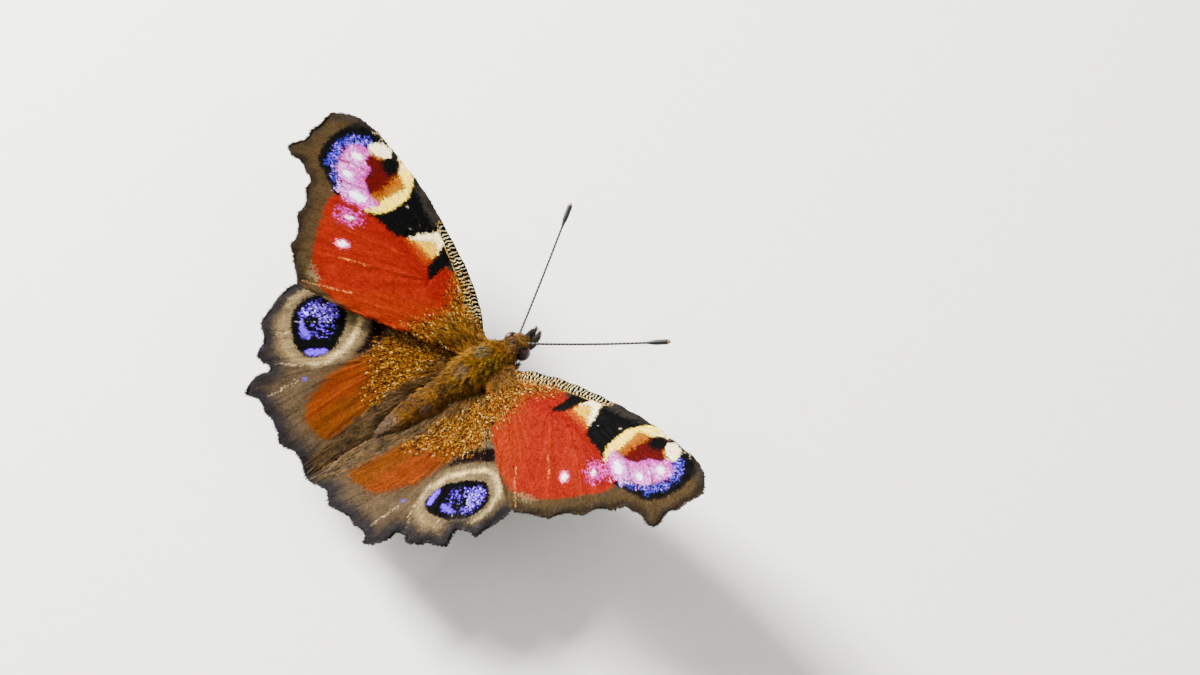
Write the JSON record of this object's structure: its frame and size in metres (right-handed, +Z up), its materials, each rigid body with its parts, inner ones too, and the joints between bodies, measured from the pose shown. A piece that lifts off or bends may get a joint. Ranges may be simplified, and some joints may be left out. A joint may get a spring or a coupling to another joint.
{
  "type": "peacock butterfly",
  "caption": "Life-size still peacock butterfly standing on its legs with wings spread, veined wings, feelers and segmented body.",
  "frame": {"origin": "on the floor under the middle of the animal's bounding box", "axes": "+X towards the animal's left, -Y forward to the head, +Z up"},
  "size_m": [0.059, 0.0388, 0.0168],
  "materials": {
    "body_hair": "golden-brown hair, matt",
    "shell": "dark brown shell, satin",
    "eye": "dark brown, glossy",
    "forewing": "red scaled wing with eyespot, matt",
    "hindwing": "grey-brown scaled wing with eyespot, matt"
  },
  "bodies": {
    "root": {"thorax": "body_hair", "abdomen": "body_hair", "head": "body_hair", "proboscis": "shell", "eye_left": "eye", "eye_right": "eye", "palp_left": "shell", "palp_right": "shell", "antenna_left": "shell", "antenna_right": "shell", "foreleg_left": "shell", "foreleg_right": "shell", "midleg_left": "shell", "midleg_right": "shell", "hindleg_left": "shell", "hindleg_right": "shell", "forewing_left": "forewing", "forewing_right": "forewing", "hindwing_left": "hindwing", "hindwing_right": "hindwing"}
  },
  "joints": []
}
